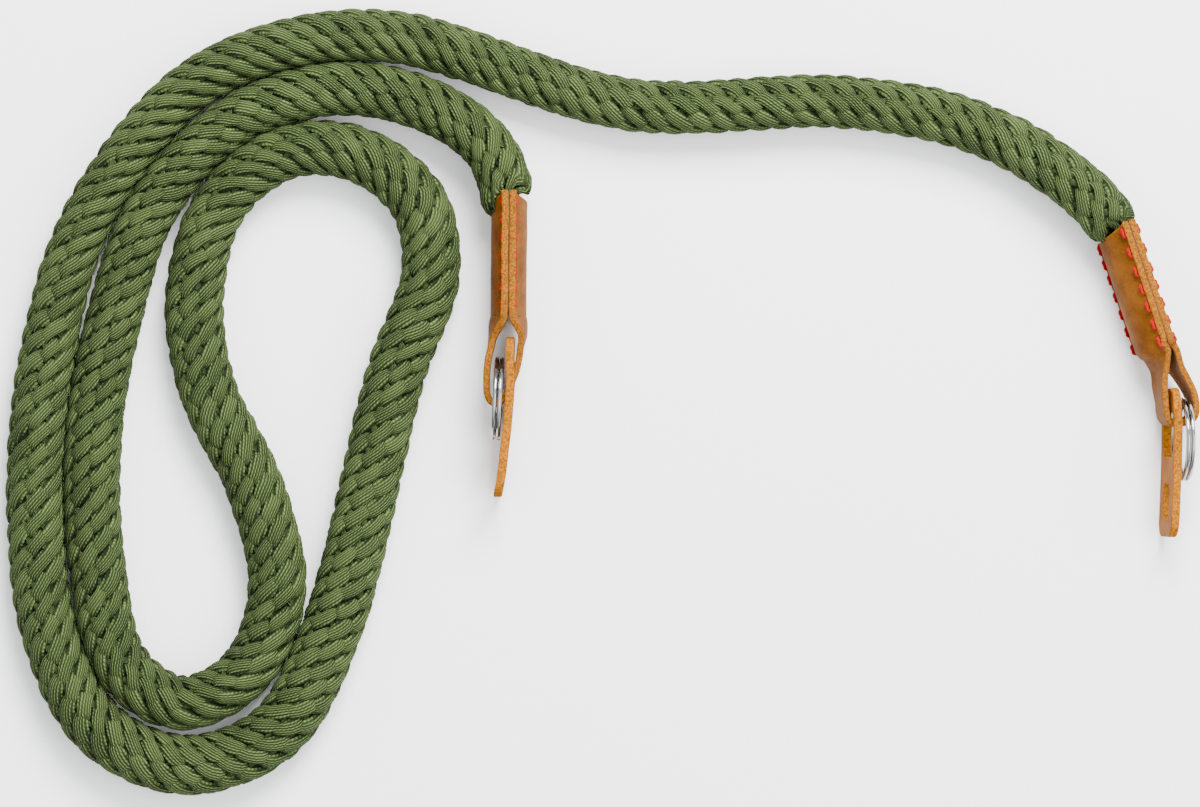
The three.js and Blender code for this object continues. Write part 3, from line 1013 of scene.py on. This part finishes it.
@dataclass
class LeatherWrap:
    """A folded leather wrap with its two rows of stitches on each panel."""

    line: EndLine
    mouth_rake: float = 1.2
    mouth_dip: float = 0.9
    mouth_fade: float = 0.3
    seam_close: float = 0.1
    seam_fade: float = 1.5
    corner: float = 0.36
    corner_turns: tuple[float, ...] = (12, 35, 62, 90)
    edge_flat: float = 0.12
    edge_band: Pair = (0.3, 0.16)
    rim_steps: tuple[float, ...] = (0.0, 0.1, 0.22)
    rim_share: float = 0.8
    samples: int = 30
    panel_samples: int = 36
    panel_ends: Pair = (0.9, 0.5)
    loop_samples: int = 7
    waves: float = 0.22
    wave_depth: float = 0.06
    wave_shift: float = 3.0
    panel_reach: float = 1.0
    stitch: Stitch = Stitch()

    def path(self) -> Array:
        """Middle of the strip: down the outer panel, round the loop and up the inner panel.

        Returns:
            Rows of the length along the line and the distance to the inner side.
        """
        shape = self.line.shape
        start = SPLIT_AT * WRAP_LENGTH
        flat = SEAM_GAP / 2 + WRAP_LEATHER / 2
        inner_reach = shape.tab_rest + TAB_LEATHER / 2 + FIT + NECK_LEATHER / 2
        loop = [
            (start + along * shape.loop_length, aside * (shape.outer_reach if aside < 0 else inner_reach))
            for along, aside in shape.neck
        ]
        curve = spline_points(np.array([(start, -flat), *loop, (start, flat)]), self.loop_samples)
        straight = np.linspace(self.panel_ends[0], start - self.panel_ends[1], self.panel_samples)
        panel = [*self.rim_steps, self.corner, *straight]
        return np.array([*((a, -flat) for a in panel), *curve, *((a, flat) for a in panel[::-1])])

    def half_section(self, half: float, leather: float, inset: float) -> list[Pair]:
        """Grain half of the strip's rounded section, from one edge to the other.

        Args:
            half: half of the width.
            leather: thickness.
            inset: how much the section is drawn in, for rounded ends.

        Returns:
            Pairs of distance across and distance out of the middle.
        """
        r = self.corner
        thick = leather / 2 - inset
        turns = np.radians(self.corner_turns)
        arc = [(half - r + r * math.cos(a), thick - r + r * math.sin(a)) for a in turns]
        face = [(x, thick) for x in np.linspace(-(half - r), half - r, self.samples)[1:-1]]
        low, high = (-half, self.edge_flat), (half, self.edge_flat)
        return [low, *((-x, y) for x, y in arc), *face, *arc[::-1], high]

    def dent(self, along: float, across: float) -> float:
        """Depth that the stitches pull the grain side in at a place on a panel.

        Args:
            along: length along the line.
            across: distance across the wrap.

        Returns:
            The depth.
        """
        stitch, pitch = self.stitch, self.line.shape.stitch_pitch
        row = math.exp(-(((abs(across) - stitch.across) / stitch.row_width) ** 2))
        end = stitch.first + (stitch.count - 0.5) * pitch
        fade = smooth(end - along) * smooth(along / stitch.row_fade)
        phase = (along - stitch.first) / pitch
        hole = (abs(phase - round(phase)) - stitch.share / 2) * pitch / stitch.hole_width
        return fade * row * (stitch.row_depth + stitch.hole_depth * math.exp(-(hole**2)))

    def rim_shift(self, along: float, across: float) -> float:
        """How far the raked and dipped rim of the mouth moves a place of the wrap.

        Args:
            along: length along the line.
            across: distance across the wrap.

        Returns:
            The move along the line.
        """
        share = 2 * across / WRAP_WIDTH
        fade = max(0.0, 1 - along / (self.mouth_fade * WRAP_LENGTH))
        return fade * (self.mouth_dip * (1 - share**2) - self.mouth_rake * share)

    def leather(self, material: Material) -> Piece:
        """Builds the strip of leather.

        Args:
            material: the leather.

        Returns:
            The piece.
        """
        path = self.path()
        start = SPLIT_AT * WRAP_LENGTH
        rim = (*self.rim_steps, self.corner)
        points, edge, flesh = [], [], []
        for i, (along, aside) in enumerate(path):
            run = path[min(i + 1, len(path) - 1)] - path[max(i - 1, 0)]
            run = run / np.linalg.norm(run)
            share = along / WRAP_LENGTH
            taper = smooth((share - TAPER_FROM) / (TAPER_TO - TAPER_FROM))
            half = mix(WRAP_WIDTH, NECK_WIDTH, taper) / 2
            thick = mix(WRAP_LEATHER, NECK_LEATHER, taper)
            swell = SWELL * (1 - smooth((share - SPLIT_AT) / (TAPER_TO - SPLIT_AT)))
            from_end = min(i, len(path) - 1 - i)
            drop = self.corner - rim[from_end] if from_end < len(rim) else 0.0
            inset = self.corner - math.sqrt(max(self.corner**2 - drop**2, 0.0))
            upper = self.half_section(half, thick, inset * self.rim_share)
            panel = along < start and abs(aside) < self.panel_reach
            deep = aside + self.wave_shift * self.line.shape.inner_side
            for across, out, side in [(*xy, 1) for xy in upper] + [(x, -y, -1) for x, y in reversed(upper)]:
                lift = out + swell * pocket_shape(across)
                if panel and side > 0:
                    lift -= self.dent(along, across)
                elif panel:
                    lift -= self.seam_close * smooth((start - along) / self.seam_fade)
                lift += self.wave_depth * noise.noise(Vector((along * self.waves, across * self.waves, deep)))
                shift = run[1] * lift + self.rim_shift(along, across)
                points.append(self.line.place(along + shift, aside - run[0] * lift, across, WRAP_STAND))
                cut = smooth((abs(across) - (half - self.edge_band[0])) / self.edge_band[1])
                edge.append(1.0 if from_end < len(self.rim_steps) else cut)
                flesh.append(float(side < 0))
        points = np.array(points)
        faces = outward(points, loft_faces(len(path), len(points) // len(path), mirrored_caps=True))
        painted = {"edge": np.array(edge), "flesh": np.array(flesh)}
        return make_piece(f"wrap_{self.line.shape.name}_leather", points, faces, material, painted)

    def stitches(self, material: Material) -> Piece:
        """Sews the four rows of stitches as one joined mesh.

        Args:
            material: the thread.

        Returns:
            The piece.
        """
        pattern = loft_faces(self.stitch.stations, self.stitch.sides)
        size = self.stitch.stations * self.stitch.sides
        points, faces = [], []
        plies = itertools.product((-1, 1), (-1, 1), range(self.stitch.count), (0.0, math.pi))
        for panel, row, k, phase in plies:
            middle = self.stitch.first + k * self.line.shape.stitch_pitch
            rings = self.ply(panel, row * self.stitch.across, middle, phase)
            faces.append(outward(rings, pattern) + size * len(points))
            points.append(rings)
        name = f"wrap_{self.line.shape.name}_stitches"
        return make_piece(name, np.vstack(points), np.vstack(faces), material, {})

    def ply(self, panel: int, across: float, middle: float, phase: float) -> Array:
        """One ply of one stitch.

        Args:
            panel: -1 for the outer panel and 1 for the inner one.
            across: the row's distance across the wrap.
            middle: the stitch's place along the wrap.
            phase: where the ply starts round the thread.

        Returns:
            The points, ring by ring.
        """
        stitch, shape = self.stitch, self.line.shape
        surface = SEAM_GAP / 2 + WRAP_LEATHER
        rows = []
        for t in np.linspace(-1, 1, stitch.stations):
            along = middle + t * stitch.share * shape.stitch_pitch / 2 + self.rim_shift(middle, across)
            lift = shape.stitch_lift - stitch.dive * abs(t) ** 5 + stitch.arch * (1 - t * t)
            slant = stitch.slant * t * (1 if across > 0 else -1)
            turn = phase + t * stitch.twist
            radius = stitch.radius * (1.0 - stitch.thinning * abs(t) ** 3)
            for angle in np.arange(stitch.sides) / stitch.sides * TURN:
                x = stitch.ply_offset * math.cos(turn) + radius * math.cos(angle)
                y = stitch.ply_offset * math.sin(turn) + radius * math.sin(angle)
                out, over = panel * (surface + lift + y), across + slant + x
                rows.append(self.line.place(along, out, over, WRAP_STAND))
        return np.array(rows)

    def build(self, leather: Material, thread: Material) -> list[Piece]:
        """Builds the wrap and its stitches."""
        wrap = declare(self.leather(leather), f"wrap_{self.line.shape.name}")
        return [wrap, declare(self.stitches(thread))]


@dataclass
class SplitRing:
    """A split ring of two turns of flattened wire, its ends and its step underneath."""

    line: EndLine
    steps: int = 180
    sides: int = 14
    squareness: float = 0.86
    ends_at: float = 270.0
    half_step: float = 16.0
    end_gap: float = 5.0
    cap_sizes: tuple[float, ...] = (0.7, 0.93)

    def frame(self) -> tuple[Array, Array, Array, Array]:
        """Place of the ring, which stands on the surface in the neck loop.

        Returns:
            Its centre, two directions in its plane with its axis between them.
        """
        shape = self.line.shape
        along = SPLIT_AT * WRAP_LENGTH + shape.loop_length + shape.ring_hang
        aside = shape.tab_rest - (TAB_LEATHER / 2 + FIT + RING_DEPTH / 2) - shape.ring_slack
        down, inward, over = self.line.axes(along)
        height = self.line.standing(along, RING_OUTER, RING_DEPTH, aside)
        tilt = -math.radians(shape.ring_tilt * shape.inner_side)
        turned, axis = (v * math.cos(tilt) + np.cross(over, v) * math.sin(tilt) for v in (down, inward))
        return self.line.point(along, height) + inward * aside, turned, axis, over

    def build(self, plated: Material) -> Piece:
        """Builds the ring.

        Args:
            plated: the wire's material.

        Returns:
            The piece.
        """
        centre, down, axis, over = self.frame()
        radius = (RING_OUTER - RING_WALL) / 2
        half_step, end_gap = math.radians(self.half_step), math.radians(self.end_gap)
        start, stop = half_step + end_gap, 2 * TURN - half_step - end_gap
        offset = (RING_WIRE + COIL_GAP) / 2
        section = []
        for a in (np.arange(self.sides) + 0.5) / self.sides * TURN:
            section.append([math.copysign(abs(v) ** self.squareness, v) for v in (math.cos(a), math.sin(a))])
        rings = []
        for i in range(self.steps + 1):
            turn = mix(start, stop, i / self.steps)
            shift = mix(-offset, offset, smooth((turn - TURN + half_step) / (2 * half_step)))
            angle = turn + math.radians(self.ends_at)
            out = down * math.cos(angle) + over * math.sin(angle)
            end = min(i, self.steps - i)
            size = self.cap_sizes[end] if end < len(self.cap_sizes) else 1.0
            for x, y in section:
                wall, wire = RING_WALL / 2 * x * size, RING_WIRE / 2 * y * size
                rings.append(centre + out * (radius + wall) + axis * (shift + wire))
        points = np.array(rings)
        faces = outward(points, loft_faces(self.steps + 1, self.sides))
        name = f"split_ring_{self.line.shape.name}"
        return declare(make_piece(f"{name}_wire", points, faces, plated, {}), name)


@dataclass
class GuardTab:
    """A leather guard tab with a slot for the neck and a slot for the lug."""

    line: EndLine
    corner: float = 3.2
    corner_points: int = 8
    neck_slot_at: float = 4.4
    neck_slot_length: float = 8.2
    neck_room: float = 0.5
    lug_slot_at: float = 17.6
    lug_slot_length: float = 6.4
    lug_slot_width: float = 5.2
    slot_corner: float = 1.2
    bevel: float = 0.26
    bevel_steps: int = 3
    cut_step: float = 0.8
    bow_reach: float = 1.0
    weld: float = 0.004
    edge_skin: float = 0.02

    def outline(self, start: float, length: float, width: float, radius: float, lift: float) -> list[Pair]:
        """A rounded rectangle in the plate's plane.

        Args:
            start: its distance from the tab's top.
            length: its length.
            width: its width.
            radius: its corners.
            lift: its shift across the tab.

        Returns:
            Points, in order.
        """
        far, near, side = start + length - radius, start + radius, width / 2 - radius
        rows = []
        for x, y, first in ((far, side, 0), (near, side, 90), (near, -side, 180), (far, -side, 270)):
            for a in np.radians(np.linspace(first, first + 90, self.corner_points)):
                rows.append((x + radius * math.cos(a), y + radius * math.sin(a) + lift))
        return rows

    def plate(self) -> bpy.types.Mesh:
        """The flat plate with its slots and rounded edges.

        Returns:
            A mesh in millimetres.
        """
        curve = bpy.data.curves.new("tab_outline", "CURVE")
        curve.dimensions, curve.fill_mode = "2D", "BOTH"
        curve.extrude = TAB_LEATHER / 2 - self.bevel
        curve.bevel_depth, curve.bevel_resolution = self.bevel, self.bevel_steps
        curve.offset = -self.bevel
        shape = self.line.shape
        lift = self.line.standing(WRAP_LENGTH, *WRAP_STAND) - self.line.standing(
            WRAP_LENGTH, TAB_WIDTH, TAB_LEATHER, shape.tab_rest)
        neck = NECK_WIDTH + 2 * self.neck_room
        for rows in (
            self.outline(0.0, shape.tab_length, TAB_WIDTH, self.corner, 0.0),
            self.outline(self.neck_slot_at, self.neck_slot_length, neck, self.slot_corner, lift),
            self.outline(self.lug_slot_at, self.lug_slot_length, self.lug_slot_width, self.slot_corner, 0.0),
        ):
            spline = curve.splines.new("POLY")
            spline.points.add(len(rows) - 1)
            spline.points.foreach_set("co", [v for x, y in rows for v in (x, y, 0.0, 1.0)])
            spline.use_cyclic_u = True
        holder = add_object("tab_outline", curve)
        evaluated = holder.evaluated_get(bpy.context.evaluated_depsgraph_get())
        mesh = bpy.data.meshes.new_from_object(evaluated)
        bpy.data.objects.remove(holder)
        bpy.data.curves.remove(curve)
        return mesh

    def cut_plate(self) -> tuple[Array, Array]:
        """The plate cut into short lengths, so that it can bow.

        Returns:
            Points and triangles.
        """
        mesh = self.plate()
        work = bmesh.new()
        work.from_mesh(mesh)
        bpy.data.meshes.remove(mesh)
        bmesh.ops.remove_doubles(work, verts=work.verts, dist=self.weld)
        for x in np.arange(self.cut_step, self.line.shape.tab_length, self.cut_step):
            geometry = [*work.verts, *work.edges, *work.faces]
            bmesh.ops.bisect_plane(work, geom=geometry, dist=1e-5, plane_co=(x, 0, 0), plane_no=(1, 0, 0))
        bmesh.ops.triangulate(work, faces=work.faces)
        bmesh.ops.recalc_face_normals(work, faces=work.faces)
        work.verts.index_update()
        points = np.array([v.co[:] for v in work.verts])
        faces = np.array([[v.index for v in f.verts] for f in work.faces])
        work.free()
        return points, faces

    def build(self, material: Material) -> Piece:
        """Builds the tab.

        Args:
            material: the leather.

        Returns:
            The piece.
        """
        shape = self.line.shape
        flat, faces = self.cut_plate()
        bow = np.array(TAB_BOW)
        stand = (TAB_WIDTH, TAB_LEATHER, shape.tab_rest)
        near = np.array([-self.bow_reach, 0.0, self.bow_reach])
        rows = []
        for x, y, z in flat:
            share = np.mean(np.interp((x + near) / shape.tab_length, bow[:, 0], bow[:, 1]))
            aside = shape.tab_rest + shape.bow * share
            rows.append(self.line.place(WRAP_LENGTH + shape.tab_drop + x, aside + z, y, stand))
        points = np.array(rows)
        edge = (np.abs(flat[:, 2]) < TAB_LEATHER / 2 - self.edge_skin).astype(float)
        painted = {"edge": edge, "flesh": (flat[:, 2] < 0).astype(float)}
        name = f"guard_tab_{shape.name}"
        piece = make_piece(f"{name}_leather", points, outward(points, faces), material, painted)
        return declare(piece, name)


# The studio


@dataclass(frozen=True)
class Lamp:
    """A soft square light: place and size in metres, power in watts."""

    name: str
    place: Triple
    size: float
    power: float


@dataclass
class Studio:
    """Pale floor, soft lights and the camera straight above, in millimetres."""

    centre: Pair = (-44.35, -7.31)
    view_width: float = 222.2
    view_height: float = 6.0
    distance: float = 1400.0
    sensor: float = 36.0
    floor_reach: float = 2000.0
    floor_drop: float = 0.05
    sky_tint: Colour = (0.97, 0.99, 1.0)
    sky_low: float = 0.45
    sky_gain: float = 1.65
    sky_band: Pair = (0.15, 0.85)
    lamps: tuple[Lamp, ...] = (
        Lamp("key", (0.12, 0.55, 0.62), 0.4, 24.0),
        Lamp("fill", (0.7, -0.2, 0.9), 0.9, 12.0),
    )

    def floor(self) -> None:
        """Lays the floor."""
        corners = np.array([(-1, -1), (1, -1), (1, 1), (-1, 1)]) * self.floor_reach
        points = np.column_stack([corners, np.full(len(corners), -self.floor_drop)])
        make_piece("floor", points, np.array([(0, 1, 2, 3)]), FLOOR.material(), {})

    def camera(self) -> None:
        """Sets the camera above the middle of the photograph's frame."""
        data = bpy.data.cameras.new("camera")
        data.sensor_width = self.sensor
        data.lens = self.sensor * (self.distance - self.view_height) / self.view_width
        data.clip_start = 0.01
        camera = add_object("camera", data)
        camera.location = (self.centre[0] * MM, self.centre[1] * MM, self.distance * MM)
        bpy.context.scene.camera = camera

    def light(self, lamp: Lamp) -> None:
        """Hangs one light that looks at the strap.

        Args:
            lamp: the light's values.
        """
        data = bpy.data.lights.new(lamp.name, "AREA")
        data.size = lamp.size
        data.energy = lamp.power
        holder = add_object(lamp.name, data)
        holder.location = lamp.place
        aim = Vector((self.centre[0] * MM, 0.0, 0.0)) - holder.location
        holder.rotation_euler = aim.to_track_quat("-Z", "Y").to_euler()

    def build(self) -> None:
        """Sets the whole studio up."""
        self.floor()
        self.camera()
        g = Graph(bpy.data.worlds.new("studio"))
        height = g.value("ShaderNodeSeparateXYZ", {}, {0: g.coords("Generated")}, "Z")
        sky = height.band(*self.sky_band) * self.sky_gain + self.sky_low
        bpy.context.scene.world = g.finish({"Strength": sky}, {"Color": rgba(self.sky_tint)})
        for lamp in self.lamps:
            self.light(lamp)


def main() -> None:
    """Builds the strap's pieces in order and reports each."""
    logging.basicConfig(level=logging.INFO, format="%(message)s")
    Studio().build()
    left, right = EndLine(LEFT_END), EndLine(RIGHT_END)
    pieces = BraidedRope(RopeLine(left, right)).build(COTTON.material(), CORE_SHADE.material())
    tan, tab, thread, plated = (finish.material() for finish in (TAN, TAB, THREAD, PLATED))
    for line in (left, right):
        pieces += LeatherWrap(line).build(tan, thread)
        pieces += [SplitRing(line).build(plated), GuardTab(line).build(tab)]
    for piece in pieces:
        log.info("built %s, %d faces", piece.name, len(piece.data.polygons))


if __name__ == "__main__":
    main()
